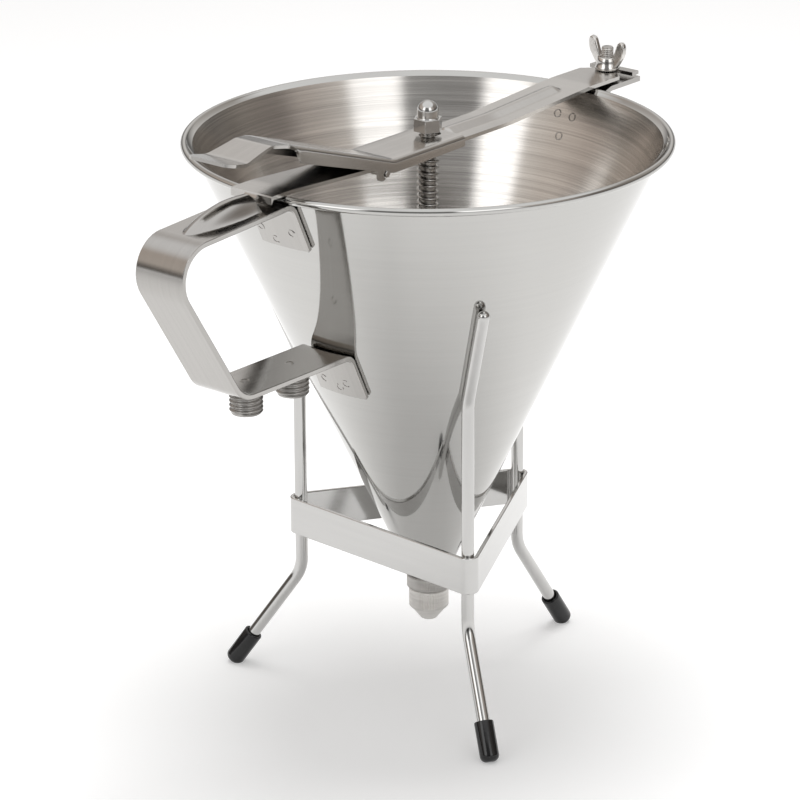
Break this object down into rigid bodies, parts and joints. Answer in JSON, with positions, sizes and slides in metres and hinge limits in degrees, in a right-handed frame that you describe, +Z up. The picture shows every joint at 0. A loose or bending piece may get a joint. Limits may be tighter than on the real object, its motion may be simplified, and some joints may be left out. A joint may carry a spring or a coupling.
{
  "type": "dispensing funnel",
  "caption": "Stainless steel dispensing funnel with a sprung lever valve, a strap handle and a rod stand with capped feet.",
  "frame": {"origin": "on the floor, under the middle of the bounding box; the funnel's axis is 15.1 mm towards +X from it", "axes": "+Z up; the handle points to -X and the bridge bar runs along X; the rear bracket with its wing nut is at +X"},
  "size_m": [0.2722, 0.19, 0.2483],
  "materials": {
    "mirror_steel": "mirror polished outside, brushed inside",
    "satin_steel": "satin",
    "polished_steel": "polished",
    "cast_steel": "cast and plated",
    "spring_steel": "drawn wire",
    "black_rubber": "glossy"
  },
  "bodies": {
    "stand": {"stand_leg_1": "polished_steel", "stand_leg_2": "polished_steel", "stand_leg_3": "polished_steel", "stand_band": "polished_steel", "foot_cap_1": "black_rubber", "foot_cap_2": "black_rubber", "foot_cap_3": "black_rubber"},
    "funnel": {"funnel_bowl": "mirror_steel", "outlet_spout": "satin_steel", "spout_collar": "satin_steel", "handle": "satin_steel", "nozzle_stud_1": "satin_steel", "nozzle_stud_2": "satin_steel", "rear_bracket": "satin_steel", "rear_stud": "satin_steel", "bridge_bar": "satin_steel", "return_spring": "spring_steel"},
    "nozzle": {"nozzle": "satin_steel"},
    "wing_nut": {"wing_nut": "cast_steel"},
    "lever": {"lever": "polished_steel", "lever_pin": "satin_steel"},
    "valve": {"valve_rod": "satin_steel", "valve_plug": "satin_steel", "spring_retainer": "satin_steel", "dome_nut": "polished_steel"}
  },
  "joints": [
    {"name": "funnel_lift", "type": "slide", "parent": "stand", "child": "funnel", "axis": [0, 0, 1], "range_m": [0, 0.16]},
    {"name": "lever_press", "type": "hinge", "parent": "funnel", "child": "lever", "pos_m": [-0.0229, 0, 0.22375], "axis": [0, -1, 0], "range_deg": [0, 9], "stiffness_Nm_per_rad": 0.6, "springref_deg": -17.19},
    {"name": "valve_lift", "type": "slide", "parent": "funnel", "child": "valve", "axis": [0, 0, 1], "range_m": [0, 0.0054], "deforming": ["return_spring"]},
    {"name": "nozzle_turn", "type": "hinge", "parent": "funnel", "child": "nozzle", "pos_m": [0.0151, 0, 0.035], "axis": [0, 0, 1], "continuous": true},
    {"name": "wing_nut_turn", "type": "hinge", "parent": "funnel", "child": "wing_nut", "pos_m": [0.1286, 0, 0.2325], "axis": [0, 0, 1], "continuous": true}
  ],
  "couplings": [
    {"joint": "valve_lift", "follows": "lever_press", "m_per_rad": 0.034}
  ]
}
